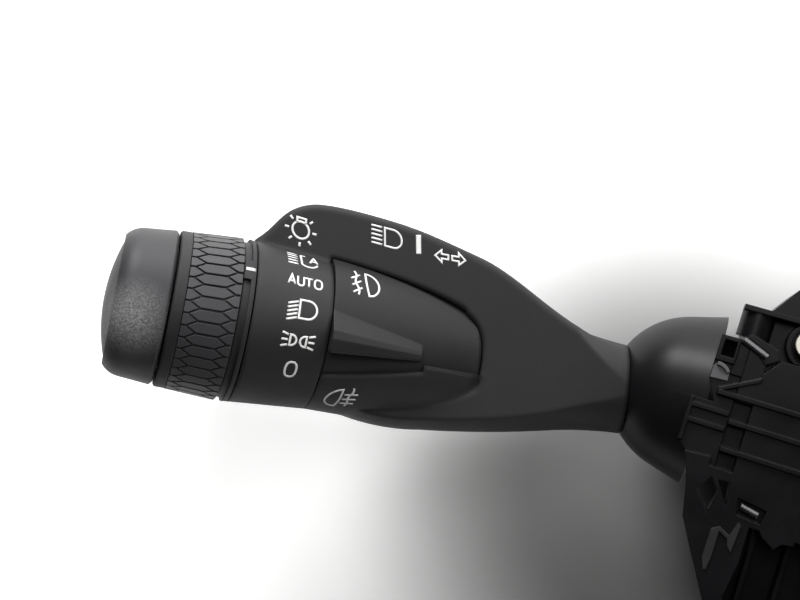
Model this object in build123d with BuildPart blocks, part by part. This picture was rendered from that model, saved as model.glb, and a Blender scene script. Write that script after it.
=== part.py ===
from build123d import *
import math
import os

# Combination stalk switch of a steering column, in millimetres.
# +Z is away from the mounting face and towards the driver, the stalk points along -X.
# The origin is where the turn-signal pivot axis meets the mounting face.

os.makedirs("parts", exist_ok=True)

# ---------------------------------------------------------------- driving dimensions
# stalk line
stalk_yaw = 7.0            # swing of the whole stalk in plan, towards -Y
body_rise = 15.0           # slope of the flat-faced stalk body
knob_rise = 32.0           # slope of the rotary knobs at its end
pivot_height = 24.0        # lever pivot above the mounting face
dogleg_point = (-84.5, -8.9, 39.8)   # where the body axis and the knob axis cross
neck_end = -51.8           # neck end, measured along the body axis from the dogleg
seam_offset = 15.7         # seam point, measured along the knob axis from the dogleg
face_height = 9.5          # flat front face above the body axis
wing_thickness = 8.5
dogleg_overlap = 6.0       # how far past the dogleg the knob line stays round behind the body
neck_radius = 9.4

# rotary knobs, stations along the knob axis from the seam point
fog_front = 0.8            # seam between the collar and the fog knob
collar_end = 16.2
ring_start = 16.5
ring_tread_start = 18.9
ring_tread_end = 28.9
ring_end = 31.2
cap_start = 31.6
cap_end = 41.6
collar_radius = 16.7
seam_radius = 15.8
ring_radius = 16.8
band_radius = 15.95
cap_radius = 15.7
spindle_radius = 12.5
spindle_start = -26.0
spindle_wall = 2.9
spindle_step_radius = 11.2 # where the spindle passes inside the end cap
stem_radius = 3.0          # stem of the end button
button_floor = 26.0        # wall in the spindle behind the button
running_gap = 0.06
part_gap = 0.3

# light ring tread
tread_rows = 43
tread_depth = 0.55
tread_groove = 0.4

# end button
button_radius = 12.0
button_rise = 1.9
button_travel = 1.2
cap_shoulder = 38.5

# fog knob
fog_length = 31.8
fog_low_angle = 30.0       # hidden skirt edge under the lower wall
fog_high_angle = -84.0     # hidden skirt edge under the wing
fog_window_angle = 8.0     # visible lower edge of the knob
fog_travel = 8.0
fog_skin = ((15.2, 30), (15.3, 4), (15.7, -22), (16.35, -50), (16.7, -84))   # radius and angle round it
pocket_gap = 0.2
pocket_high_radius = 16.9
pocket_low_radius = 15.45
pocket_nose = ((0, 14.4), (0.9, 15.5), (2.4, 16.15), (4.5, 16.55), (10, pocket_high_radius))
ridge_length = 18.6

# dust bell
rim_x = -19.0
dome_centre = -21.7
dome_radius = 16.9
skirt_angle = 15.6
bell_wall = 1.4

# lever and carrier
lever_radius = 6.0
lever_tip = -5.0           # its end in the stalk, along the body axis
lever_bend = neck_end - 7
pivot_block = (18.0, 12.4, 11.0)
tail_radius = 4.2
flash_pin_radius = 2.0
carrier_size = (18.0, 22.0, 25.0)
carrier_slot = (13.4, 19.0)
turn_stub_radius = 4.0
bush_radius = 6.0
detent_radius = 26.0
plunger_radius = 2.4
plunger_back = 14.0
slide_gap = 0.05
press_gap = 0.02

# housing
deck_top = 46.0
deck_thickness = 3.5
case_wall = 2.0
cover_thickness = 2.5
case_end = 62.0
main_half_width = 20.0
lower_edge = -46.0
upper_edge = 38.0
lower_deck = 36.0
upper_deck = 24.0
rib_thickness = 0.9
wall_x = -14.5             # left wall, behind the bell
step_x = -11.1             # step of the deck beside that wall
nose_bottom = 44.2         # clear of the bell rim over its travel
lever_opening = 9.5
clip_thickness = 0.4
rod_seats = (              # both ends and the radius of each metal rod
    ((-16.0, 13.3, 46.1), (-11.2, 11.3, 46.1), 0.75),
    ((-8.0, -16.8, 45.3), (-4.7, -17.5, 45.3), 0.8),
)
cover_screw_spots = ((-1, -15.8), (57.4, -15.5), (57.4, 15.5), (-9.9, 15.6), (57.4, -41.4), (6, 32))
lug_centre = (30.0, -4.0)
lug_spacing = (48.0, 96.0)
lug_hole_radius = 2.15
lug_radius = 5.0
lug_height = 4.5
corner_round = 2.5
barrel_radius = 3.1
connector_centre = (30.0, 14.0)
screw_head_radius = 2.2
screw_shank_radius = 1.2
screw_shank_length = 9.0

# small parts of the stalk
rear_shell_start = 10.2    # front edge of the rear shell, along the body axis
detent_ball_radius = 1.4
race_radius = 13.35
race_station = 20.0
ring_step = 22.5
index_angle = -38.0        # angle of the index tab below the driver's side


# ---------------------------------------------------------------- frames
def sloped_direction(rise):
    """Unit vector of a stalk line that climbs by rise, pointing to the knob end."""
    r, y = math.radians(rise), math.radians(stalk_yaw)
    return Vector(-math.cos(r) * math.cos(y), -math.cos(r) * math.sin(y), math.sin(r))


def face_direction(rise):
    """Unit vector square to that line, pointing to the driver."""
    r, y = math.radians(rise), math.radians(stalk_yaw)
    return Vector(math.sin(r) * math.cos(y), math.sin(r) * math.sin(y), math.cos(r))


dogleg = Vector(*dogleg_point)
body_dir = sloped_direction(body_rise)
body_up = face_direction(body_rise)
knob_dir = sloped_direction(knob_rise)
knob_up = face_direction(knob_rise)
wing_dir = knob_dir.cross(knob_up)
seam_point = dogleg + knob_dir * seam_offset
pivot = Vector(0, 0, pivot_height)

knob_axis = Axis(seam_point, knob_dir)
body_axis = Axis(dogleg, body_dir)
lever_axis = Axis(pivot, Vector(-1, 0, 0))
knob_profile = Plane(origin=seam_point, x_dir=knob_dir, z_dir=wing_dir)
body_profile = Plane(origin=dogleg, x_dir=body_dir, z_dir=wing_dir)
lever_profile = Plane(origin=pivot, x_dir=(1, 0, 0), z_dir=(0, -1, 0))
flat_face = Plane(origin=dogleg + body_up * face_height, x_dir=body_dir, z_dir=body_up)
wing_plane = Plane(origin=dogleg + body_up * face_height, x_dir=body_dir, z_dir=body_up * -1)

rear_screw_plane = Plane(origin=dogleg - body_up * 7.5, x_dir=body_dir, z_dir=body_up * -1)
rear_screws = ((-30, 7.9), (-30, -7.9))


def knob_station(s):
    """Plane square to the knob axis at station s: x to the driver, y to the wing."""
    return Plane(origin=seam_point + knob_dir * s, x_dir=knob_up, z_dir=knob_dir)


def body_station(u):
    """Plane square to the body axis at station u: x to the driver, y to the wing."""
    return Plane(origin=dogleg + body_dir * u, x_dir=body_up, z_dir=body_dir)


def knob_profile_at(angle):
    """Profile plane through the knob axis, turned down from the driver's side by angle."""
    t = math.radians(angle)
    return Plane(origin=seam_point, x_dir=knob_dir, z_dir=wing_dir * math.cos(t) + knob_up * math.sin(t))


def around(radius, angle):
    """Point of a knob station at a radius and an angle below the driver's side."""
    t = math.radians(angle)
    return (radius * math.cos(t), -radius * math.sin(t))


def section(points, plane):
    """Flat face inside a closed outline drawn on a plane."""
    with BuildSketch(plane) as outline:
        Polygon(*points, align=None)
    return outline.sketch


def turned(points, plane, axis, arc=360, mode=Mode.ADD):
    """Revolve a closed outline about an axis, in the part in hand."""
    revolve(section(points, plane), axis=axis, revolution_arc=arc, mode=mode)


def prism(points, plane, amount, mode=Mode.ADD):
    """Extrude a closed outline from its plane, in the part in hand."""
    extrude(section(points, plane), amount=amount, mode=mode)


def save(part, name):
    """Label a finished piece and write its STEP file."""
    part.label = name
    export_step(part, f"parts/{name}.step")


# ---------------------------------------------------------------- stalk shells
def dome_profile(inset):
    """Outline of the bell, drawn in from the outside by an inset: a round crown and a tangent skirt."""
    with BuildSketch(lever_profile) as outline:
        with BuildLine():
            crown = CenterArc((dome_centre, 0), dome_radius - inset, 90 + skirt_angle, 90 - skirt_angle)
            brow = crown @ 0
            rim = brow.Y + math.tan(math.radians(skirt_angle)) * (rim_x - brow.X)
            Polyline(crown @ 1, (rim_x, 0), (rim_x, rim), brow)
        make_face()
    return outline.sketch


def pocket_profile(inset, core, angle):
    """Outline of the fog pocket on a plane through the knob axis, drawn in by an inset."""
    start = -fog_length - pocket_gap + inset
    with BuildSketch(knob_profile_at(angle)) as outline:
        with BuildLine():
            nose = Spline(
                *[(start + s, radius - inset) for s, radius in pocket_nose], tangents=[(0.2, 1), (1, 0)]
            )
            Polyline(
                nose @ 1, (fog_front, pocket_high_radius - inset), (fog_front, core),
                (start, core), nose @ 0,
            )
        make_face()
    return outline.sketch


def knob_sector(points, low, high):
    """Solid of revolution about the knob axis between two angles."""
    turned(points, knob_profile_at(low), knob_axis, low - high)


with BuildPart() as body_bulge:
    # round body that tapers to the neck, cut flat on the driver's side
    with BuildSketch(body_profile):
        with BuildLine():
            shoulder = ThreePointArc((10.5, 15.4), (1, 16.9), (-10, 16.2))
            flank = ThreePointArc(shoulder @ 1, (-24, 14.15), (-38, 11.2))
            throat = ThreePointArc(flank @ 1, (-45, 10.0), (neck_end, neck_radius))
            Polyline(
                throat @ 1, (neck_end - 5, neck_radius), (neck_end - 5, 0), (14, 0), (14, 11), shoulder @ 0,
            )
        make_face()
    revolve(axis=body_axis)
    split(bisect_by=flat_face, keep=Keep.BOTTOM)

with BuildPart() as wing:
    # flat wing above the body, with an eased outline
    with BuildSketch(wing_plane):
        with BuildLine():
            w1 = Spline(
                (31.6, 16.0), (29.2, 18.7), (25.5, 23.5), (20.8, 26.3), tangents=[(-0.5, 0.85), (-1, 0.3)],
            )
            w2 = Spline(
                w1 @ 1, (16.6, 26.8), (8.2, 26.4), (-2.5, 25.0), (-14, 22.2), (-23.2, 18.8),
                tangents=[(-1, 0.3), (-1, -0.5)],
            )
            w3 = Spline(w2 @ 1, (-36.4, 12.0), (-44, 9.4), (-50, 8.6), tangents=[(-1, -0.5), (-1, -0.08)])
            Polyline(w3 @ 1, (-50, 0), (25, 0), w1 @ 0)
        make_face()
    extrude(amount=wing_thickness)
    fillet(wing.edges().filter_by(lambda e: e.center().dot(wing_dir) - dogleg.dot(wing_dir) > 8.0)
           .filter_by(lambda e: e.length > 9.0), radius=1.3)
    # round envelope that fades the wing into the neck
    with BuildSketch(body_profile):
        with BuildLine():
            fade = ThreePointArc((neck_end, neck_radius), (-44, 11.0), (-34, 17.5))
            Polyline(fade @ 1, (-20, 40), (40, 40), (40, 0), (neck_end, 0), fade @ 0)
        make_face()
    revolve(axis=body_axis, mode=Mode.INTERSECT)

with BuildPart() as neck_clearance:
    # the dome that the neck meets, with the gap between them
    revolve(dome_profile(-part_gap), axis=lever_axis)

with BuildPart() as stalk_outer:
    turned(
        [(-38, 0), (-38, 14.6), (-30, 15.7), (-20, 15.95), (-8, 15.95), (0, seam_radius),
         (collar_end, collar_radius), (collar_end, 0)],
        knob_profile, knob_axis,
    )
    # past the dogleg the knob line shows on the driver's side alone
    with BuildSketch(Plane(origin=dogleg, x_dir=body_dir, z_dir=body_up * -1)):
        with Locations((dogleg_overlap - 30, 0)):
            Rectangle(60, 60)
    extrude(amount=30, mode=Mode.SUBTRACT)
    add(body_bulge.part)
    add(wing.part)
    split(bisect_by=knob_station(collar_end), keep=Keep.BOTTOM)
    add(neck_clearance.part, mode=Mode.SUBTRACT)

with BuildPart() as fog_window:
    # everything of the collar line that would stand proud of the flat face beside the fog knob
    knob_sector([(-42, 9), (-42, 20), (fog_front, 20), (fog_front, 9)], fog_window_angle, -100)
    split(bisect_by=flat_face, keep=Keep.TOP)

with BuildPart() as stalk_hollow:
    # bore for the spindle, pocket for the fog knob and bore for the lever
    bore = spindle_radius + press_gap
    bore_end = spindle_start - pocket_gap
    turned([(bore_end, 0), (bore_end, bore), (collar_end, bore), (collar_end, 0)], knob_profile, knob_axis)
    pocket_end = -fog_length - pocket_gap
    pocket_low_edge = fog_low_angle + fog_travel + 1.5
    knob_sector(
        [(pocket_end, 8), (pocket_end, pocket_low_radius), (fog_front, pocket_low_radius), (fog_front, 8)],
        pocket_low_edge, -5,
    )
    revolve(pocket_profile(0, 8, 0), axis=knob_axis, revolution_arc=fog_travel + 1.5 - fog_high_angle)
    with BuildSketch(body_station(neck_end)):
        Circle(lever_radius + press_gap)
    extrude(amount=-neck_end)
    # holes for the shell screws
    with BuildSketch(rear_screw_plane):
        with Locations(*rear_screws):
            Circle(screw_shank_radius + press_gap)
    extrude(amount=-screw_shank_length - pocket_gap)
    # dished scoop under the finger ridge
    scoop_start = section(
        [around(15.2, 7), around(15.2, 27), around(16.6, 31), around(18, 7)],
        knob_station(fog_front - part_gap),
    )
    scoop_tip = section(
        [around(15, 7), around(15, 12), around(16.4, 14), around(18, 7)], knob_station(-ridge_length - 1)
    )
    loft([scoop_start, scoop_tip], ruled=True)
    # parting groove that carries the seam on round the lower side
    groove = fog_front - part_gap
    knob_sector([(groove, 15.2), (groove, 17), (fog_front, 17), (fog_front, 15.2)], 178, fog_window_angle)

with BuildPart() as rear_region:
    # space that the rear shell fills, behind the parting plane of the body
    with BuildSketch(Plane(origin=dogleg - body_up * 1.5, x_dir=body_dir, z_dir=body_up * -1)):
        with Locations(((neck_end + rear_shell_start - 1) / 2, 0)):
            Rectangle(rear_shell_start - neck_end + 1, 60)
    extrude(amount=30)

with BuildPart() as stalk_shell:
    add(stalk_outer.part)
    add(fog_window.part, mode=Mode.SUBTRACT)
    add(stalk_hollow.part, mode=Mode.SUBTRACT)
    add(rear_region.part, mode=Mode.SUBTRACT)

with BuildPart() as stalk_rear_shell:
    add(stalk_outer.part)
    add(stalk_hollow.part, mode=Mode.SUBTRACT)
    add(rear_region.part, mode=Mode.INTERSECT)
    with BuildSketch(rear_screw_plane):
        with Locations(*rear_screws):
            Circle(screw_head_radius + 0.2)
    extrude(amount=12, mode=Mode.SUBTRACT)
save(stalk_rear_shell.part, "stalk_rear_shell")
save(stalk_shell.part, "stalk_shell")

# ---------------------------------------------------------------- knobs on the stalk
with BuildPart() as knob_spindle:
    # fixed tube that carries every knob, stepped down inside the end cap
    inside = spindle_radius - spindle_wall
    shoulder = ring_end + pocket_gap
    guide_end = button_floor + 4
    turned(
        [(spindle_start, lever_radius), (spindle_start, spindle_radius), (shoulder, spindle_radius),
         (shoulder, spindle_step_radius), (cap_shoulder, spindle_step_radius), (cap_shoulder, inside),
         (guide_end, inside), (guide_end, stem_radius + 0.1), (button_floor, stem_radius + 0.1),
         (button_floor, inside), (spindle_start + 5.5, inside), (spindle_start + 5.5, lever_radius)],
        knob_profile, knob_axis,
    )
    # radial hole for the ring's detent ball
    with BuildSketch(Plane(origin=seam_point + knob_dir * race_station, x_dir=knob_dir, z_dir=knob_up * -1)):
        Circle(detent_ball_radius + slide_gap)
    extrude(amount=spindle_radius + 1, mode=Mode.SUBTRACT)
    # way in for the lever core
    with BuildSketch(body_station(spindle_start)):
        Circle(lever_radius + press_gap)
    extrude(amount=-spindle_start, mode=Mode.SUBTRACT)
save(knob_spindle.part, "knob_spindle")

with BuildPart() as fog_knob:
    # half-round sleeve, fuller towards the wing, with a rounded inner end
    with BuildSketch(knob_station(-fog_length)):
        with BuildLine():
            skin = Spline(*[around(radius, angle) for radius, angle in fog_skin])
            Polyline(skin @ 1, (0, 0), skin @ 0)
        make_face()
    extrude(amount=fog_length + fog_front - part_gap)
    revolve(pocket_profile(pocket_gap, 0, 0), axis=knob_axis, mode=Mode.INTERSECT)
    # tapering finger ridge along its lower edge
    ridge_root = section(
        [around(15.1, -30), around(16.3, -15), around(18.0, -5.5), around(18.3, 0), around(18.1, 7.5),
         around(17.6, 9), around(14, 9), around(14, -30)],
        knob_station(fog_front - part_gap),
    )
    ridge_tip = section(
        [around(14.9, -14), around(15.3, -8), around(15.9, -1.5), around(16.1, 1), around(16.1, 4),
         around(15.8, 5.5), around(14, 5.5), around(14, -14)],
        knob_station(-ridge_length),
    )
    loft([ridge_root, ridge_tip], ruled=True)
    with BuildSketch(knob_station(-fog_length - 1)):
        Circle(spindle_radius + running_gap)
    extrude(amount=fog_length + 3, mode=Mode.SUBTRACT)
save(fog_knob.part, "fog_knob")

with BuildPart() as ring_carrier:
    # rotary ring body: rear collar, drum for the soft tread and a smooth front band
    ring_bore = spindle_radius + running_gap
    turned(
        [(ring_start, ring_bore), (ring_start, ring_radius - 0.1), (ring_start + 0.9, ring_radius),
         (ring_start + 0.9, ring_radius - 0.75), (ring_tread_start - 0.1, ring_radius - 0.75),
         (ring_tread_start - 0.1, 14.4), (ring_tread_end + 0.1, 14.4), (ring_tread_end + 0.1, band_radius),
         (ring_end - 0.3, band_radius - 0.05), (ring_end, band_radius - 0.35), (ring_end, ring_bore)],
        knob_profile, knob_axis,
    )
    # index tab that bridges the rear channel
    knob_sector(
        [(ring_start + 0.5, 15.5), (ring_start + 0.5, ring_radius), (ring_tread_start - 0.1, ring_radius),
         (ring_tread_start - 0.1, 15.5)],
        index_angle + 8, index_angle - 8,
    )
    # shallow race for the detent ball, with one dimple for each setting
    race_low = race_station - detent_ball_radius - pocket_gap
    race_high = race_station + detent_ball_radius + pocket_gap
    turned(
        [(race_low, 12), (race_low, race_radius), (race_high, race_radius), (race_high, 12)],
        knob_profile, knob_axis, mode=Mode.SUBTRACT,
    )
    for step in range(-1, 4):
        with BuildSketch(knob_station(race_station - detent_ball_radius)):
            with Locations(around(race_radius, 180 - step * ring_step)):
                Circle(0.8)
        extrude(amount=2 * detent_ball_radius, mode=Mode.SUBTRACT)
save(ring_carrier.part, "ring_carrier")


def scale_outline(low, high, tip, cut_low=False, cut_high=False):
    """Long hexagon of the tread, x round the ring and y along it; a cut end is square."""
    half = math.pi * band_radius / tread_rows - tread_groove / 2
    low_end = [(half, low), (-half, low)]
    high_end = [(-half, high), (half, high)]
    if not cut_low:
        low_end = [(half, low + tip), (0, low), (-half, low + tip)]
    if not cut_high:
        high_end = [(-half, high - tip), (0, high), (half, high - tip)]
    return low_end + high_end


def tread_plane(angle):
    """Plane laid on the tapered drum at an angle round it, y along the ring axis."""
    t = math.radians(angle)
    outward = knob_up * math.cos(t) + wing_dir * math.sin(t)
    slope = (drum_low - drum_high) / (ring_tread_end - ring_tread_start)
    middle = (ring_tread_start + ring_tread_end) / 2
    centre = seam_point + knob_dir * middle + outward * ((drum_low + drum_high) / 2 - 0.25)
    return Plane(origin=centre, x_dir=knob_dir.cross(outward), z_dir=outward + knob_dir * slope)


drum_low = ring_radius - tread_depth
drum_high = band_radius + 0.05 - tread_depth
row_angle = 360 / tread_rows

with BuildPart() as scale_row:
    # one full scale and, half a row on, the two cut scales that interlock with it
    thickness = tread_depth + 0.25
    half_length = (ring_tread_end - ring_tread_start) / 2 - 0.05
    prism(scale_outline(-3.7, 3.7, 1.7), tread_plane(0), thickness)
    prism(scale_outline(-half_length, -2.4, 1.7, cut_low=True), tread_plane(row_angle / 2), thickness)
    prism(scale_outline(2.4, half_length, 1.7, cut_high=True), tread_plane(row_angle / 2), thickness)

with BuildPart() as ring_tread:
    # soft sleeve with interlocking rows of long hexagonal scales
    turned(
        [(ring_tread_start, 14.42), (ring_tread_start, drum_low), (ring_tread_end, drum_high),
         (ring_tread_end, 14.42)],
        knob_profile, knob_axis,
    )
    add([scale_row.part.rotate(knob_axis, row * row_angle) for row in range(tread_rows)])
save(ring_tread.part, "ring_tread")

with BuildPart() as end_cap:
    # cap shell, open at the end for the button, with a rounded shoulder
    wall_in = spindle_step_radius + slide_gap
    opening = button_radius + 0.15
    with BuildSketch(knob_profile):
        with BuildLine():
            Polyline((cap_start, wall_in), (cap_start, cap_radius - 0.5), (cap_start + 0.5, cap_radius))
            side = Line((cap_start + 0.5, cap_radius), (cap_end - 3.4, 15.0))
            brow = TangentArc(side @ 1, (cap_end, 13.0), tangent=side % 1)
            Polyline(brow @ 1, (cap_end, opening), (cap_shoulder, opening), (cap_shoulder, wall_in),
                     (cap_start, wall_in))
        make_face()
    revolve(axis=knob_axis)
save(end_cap.part, "end_cap")

with BuildPart() as end_button:
    # domed disc with a guide skirt and a central stem
    plate, skirt_end, stem_end = cap_end - 1.6, 34.5, button_floor + 3.4
    skirt, stem = spindle_radius - spindle_wall - running_gap, stem_radius + 0.04
    with BuildSketch(knob_profile):
        with BuildLine():
            dome = TangentArc(
                (cap_end + button_rise, 0), (cap_end - 0.05, button_radius - 0.25), tangent=(0, 1),
            )
            Polyline(
                dome @ 1, (cap_end - 0.3, button_radius), (plate, button_radius), (plate, skirt),
                (skirt_end, skirt), (skirt_end, skirt - 1.5), (plate, skirt - 1.5), (plate, stem),
                (stem_end, stem), (stem_end, 0), dome @ 0,
            )
        make_face()
    revolve(axis=knob_axis)
save(end_button.part, "end_button")

# ---------------------------------------------------------------- small parts inside the knobs
with BuildPart() as detent_ball:
    with Locations(knob_station(race_station)):
        with Locations((-(race_radius - detent_ball_radius - 0.1), 0)):
            Sphere(detent_ball_radius)
save(detent_ball.part, "detent_ball")

with BuildPart() as stalk_board:
    # small circuit board across the spindle, behind the button
    board_back, board_edge = button_floor - 1.6, spindle_radius - spindle_wall - slide_gap
    turned(
        [(board_back, 0), (board_back, board_edge), (button_floor, board_edge), (button_floor, 0)],
        knob_profile, knob_axis,
    )
save(stalk_board.part, "stalk_board")

with BuildPart() as button_dome:
    # rubber dome that returns the button
    turned(
        [(button_floor + s, radius) for s, radius in
         ((0, 0.9), (0, 3.0), (0.5, 3.0), (1.4, 2.2), (2.0, 1.6), (2.0, 0), (1.6, 0), (1.6, 0.9))],
        knob_profile, knob_axis,
    )
save(button_dome.part, "button_dome")

with BuildPart() as shell_screws:
    # screws that close the rear shell
    with BuildSketch(rear_screw_plane):
        with Locations(*rear_screws):
            Circle(screw_head_radius)
    extrude(amount=1.6)
    with BuildSketch(rear_screw_plane):
        with Locations(*rear_screws):
            Circle(screw_shank_radius)
    extrude(amount=-screw_shank_length)
save(shell_screws.part, "shell_screws")

# ---------------------------------------------------------------- lever, bell and carrier
bend_start = dogleg + body_dir * lever_bend
block_face = Vector(-pivot_block[0] / 2, 0, pivot_height)

with BuildPart() as lever_core:
    # shank in the stalk body, bent into line with the pivot block
    with BuildSketch(body_station(lever_bend)):
        Circle(lever_radius)
    extrude(amount=lever_tip - lever_bend)
    with Locations(bend_start):
        Sphere(lever_radius)
    with BuildSketch(Plane(origin=bend_start, z_dir=block_face - bend_start)):
        Circle(lever_radius)
    extrude(amount=(block_face - bend_start).length + 1)
    with Locations(pivot):
        Box(*pivot_block)
    # tail with the plunger's bore, and the hole for the flash pin
    with BuildSketch(Plane.YZ.offset(pivot_block[0] / 2)):
        with Locations((0, pivot_height)):
            Circle(tail_radius)
    extrude(amount=8)
    with BuildSketch(Plane.XZ.offset(-10)):
        with Locations((0, pivot_height)):
            Circle(flash_pin_radius + slide_gap)
    extrude(amount=20, mode=Mode.SUBTRACT)
    with BuildSketch(Plane.YZ.offset(17)):
        with Locations((0, pivot_height)):
            Circle(plunger_radius + slide_gap)
    extrude(amount=-9, mode=Mode.SUBTRACT)
save(lever_core.part, "lever_core")


with BuildPart() as dust_bell:
    # dome that hides the lever's way into the housing
    revolve(dome_profile(0), axis=lever_axis)
    revolve(dome_profile(bell_wall), axis=lever_axis, mode=Mode.SUBTRACT)
    with BuildSketch(body_station(neck_end + 9)):
        Circle(lever_radius + slide_gap)
    extrude(amount=-16, mode=Mode.SUBTRACT)
save(dust_bell.part, "dust_bell")

with BuildPart() as carrier_yoke:
    # cradle that turns with the turn signal and carries the flash pin
    length, width, height = carrier_size
    with Locations(pivot):
        Box(length, width, height)
        Box(length + 1, carrier_slot[0], carrier_slot[1], mode=Mode.SUBTRACT)
    with BuildSketch(Plane.XY.offset(pivot_height + height / 2)):
        Circle(turn_stub_radius)
    extrude(amount=deck_top - 1 - pivot_height - height / 2)
    with BuildSketch(Plane.XY.offset(pivot_height - height / 2)):
        Circle(turn_stub_radius)
    extrude(amount=-(pivot_height - height / 2 - 3.2))
    with BuildSketch(Plane.XZ.offset(-width / 2 - 1)):
        with Locations((0, pivot_height)):
            Circle(flash_pin_radius)
    extrude(amount=width + 2, mode=Mode.SUBTRACT)
    upright = carrier_yoke.edges().filter_by(Axis.Z)
    fillet(upright.filter_by(lambda e: abs(e.center().Y) > width / 2 - 0.1), radius=2)
save(carrier_yoke.part, "carrier_yoke")

with BuildPart() as flash_pin:
    with BuildSketch(Plane.XZ.offset(-carrier_size[1] / 2)):
        with Locations((0, pivot_height)):
            Circle(flash_pin_radius)
    extrude(amount=carrier_size[1])
    chamfer(flash_pin.edges(), 0.3)
save(flash_pin.part, "flash_pin")

with BuildPart() as turn_magnet:
    # sensor magnet under the carrier
    with BuildSketch(Plane.XY.offset(pivot_height - carrier_size[2] / 2)):
        with Locations((6, 6)):
            Circle(2.2)
    extrude(amount=-2)
save(turn_magnet.part, "turn_magnet")

with BuildPart() as carrier_bushes:
    # plain bearings of the carrier's two stubs
    for base, top in ((cover_thickness, 6.5), (deck_top - deck_thickness, deck_top - 0.8)):
        with BuildSketch(Plane.XY.offset(base)):
            Circle(bush_radius - press_gap)
            Circle(turn_stub_radius + slide_gap, mode=Mode.SUBTRACT)
        extrude(amount=top - base)
save(carrier_bushes.part, "carrier_bushes")

with BuildPart() as detent_plunger:
    # sprung plunger in the lever's tail
    nose_centre = detent_radius - 0.4 - plunger_radius
    with BuildSketch(Plane.YZ.offset(plunger_back)):
        with Locations((0, pivot_height)):
            Circle(plunger_radius)
    extrude(amount=nose_centre - plunger_back)
    with Locations((nose_centre, 0, pivot_height)):
        Sphere(plunger_radius)
save(detent_plunger.part, "detent_plunger")

with BuildPart() as plunger_spring:
    with BuildLine() as coil:
        Helix(pitch=1.25, height=5.0, radius=1.75, center=(8.4, 0, pivot_height), direction=(1, 0, 0))
    start, run = coil.line @ 0, coil.line % 0
    with BuildSketch(Plane(origin=start, x_dir=start - Vector(start.X, 0, pivot_height), z_dir=run)):
        Rectangle(0.5, 0.6)
    sweep(path=coil.line, is_frenet=True)
save(plunger_spring.part, "plunger_spring")

with BuildPart() as detent_cam:
    # fixed cam with a hollow face round the pivot and a groove for each lever setting
    with BuildSketch(Plane.XY.offset(14)):
        with Locations((28, 0)):
            Rectangle(9, 20)
    extrude(amount=deck_top - deck_thickness - 14)
    with Locations(pivot):
        Sphere(detent_radius, mode=Mode.SUBTRACT)
    for angle in (-7.5, 0, 7.5):
        t = math.radians(angle)
        with BuildSketch(Plane.XY.offset(16)):
            with Locations((detent_radius * math.cos(t), detent_radius * math.sin(t))):
                Circle(0.7)
        extrude(amount=16, mode=Mode.SUBTRACT)
save(detent_cam.part, "detent_cam")


# ---------------------------------------------------------------- housing
def slab(points, low, high, mode=Mode.ADD):
    """Upright prism between two heights above the mounting face."""
    prism(points, Plane.XY.offset(low), high - low, mode=mode)


def block(x0, x1, y0, y1, low, high, mode=Mode.ADD):
    """Upright box between two heights above the mounting face."""
    slab([(x0, y0), (x1, y0), (x1, y1), (x0, y1)], low, high, mode=mode)


def corners(part, spots):
    """Upright edges of a part that stand at the given spots of its plan."""
    return [
        edge for edge in part.edges().filter_by(Axis.Z)
        if any(math.hypot(edge.center().X - x, edge.center().Y - y) < 0.1 for x, y in spots)
    ]


def lugs(radius):
    """Circles at the four mounting lugs, in the sketch in hand."""
    with Locations(lug_centre), GridLocations(lug_spacing[0], lug_spacing[1], 2, 2):
        Circle(radius)


main_outline = [
    (wall_x, -12.3), (-8.5, -12.3), (-5.5, -main_half_width), (case_end, -main_half_width),
    (case_end, main_half_width), (wall_x, main_half_width),
]
lower_outline = [
    (-13, -28), (-9, -27), (-5.5, -24), (-5.5, -main_half_width), (case_end, -main_half_width),
    (case_end, lower_edge), (-4.5, lower_edge), (-9, -37),
]
upper_outline = [
    (-12.3, main_half_width), (-7, 27.9), (4, upper_edge), (case_end, upper_edge),
    (case_end, main_half_width),
]
deck_outline = [
    (wall_x, -12.3), (-8.5, -12.3), (-5.5, -main_half_width), (case_end, -main_half_width),
    (case_end, 11.4), (-8.6, 11.4), (-8.6, 11.2), (step_x + 0.2, 8.2), (step_x + 0.2, 13.9), (wall_x, 13.9),
]
arm_outline = [
    (-20.4, -10), (-19, -13.9), (-17.3, -22), (-14.6, -27), (-9.7, -35.7), (-4, lower_edge),
    (-1.5, lower_edge), (-6.5, -34), (-5.5, -27), (-5.5, -main_half_width), (-8.5, -12.3), (wall_x, -9.5),
]
arm_foot = [(-14.6, -27), (-9.7, -35.7), (-4, lower_edge), (-1.5, lower_edge), (-6.5, -34), (-9, -27)]
arm_windows = (
    [(-16.3, -16.1), (-14.4, -13.1), (-12.5, -15.6), (-13.4, -19.8)],
    [(-13.2, -13.4), (-11, -13.1), (-10.6, -17.6)],
)
nose_outline = [
    (-22.3, 0.5), (-22.3, -8.2), (-20.4, -10), (wall_x + 0.1, -12), (wall_x + 0.1, 13.3), (-20, 13.3),
    (-20, 4.7), (-18, 0.5),
]
rod_block = [(-15.6, 14.3), (-14.3, 14.7), (-9.6, 13.2), (-8.9, 11.4), (-11.1, 9.8), (-12.9, 11.4)]
pin_recess = [(-8.9, -15.4), (-3.4, -16.2), (-3.9, -18.9), (-8.3, -18.5)]
edge_hook = [(-3.8, -19.9), (-2.9, -21.1), (-0.5, -22.5), (0.6, -21.1), (2.7, -20.7), (2.7, -19.9)]

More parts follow.
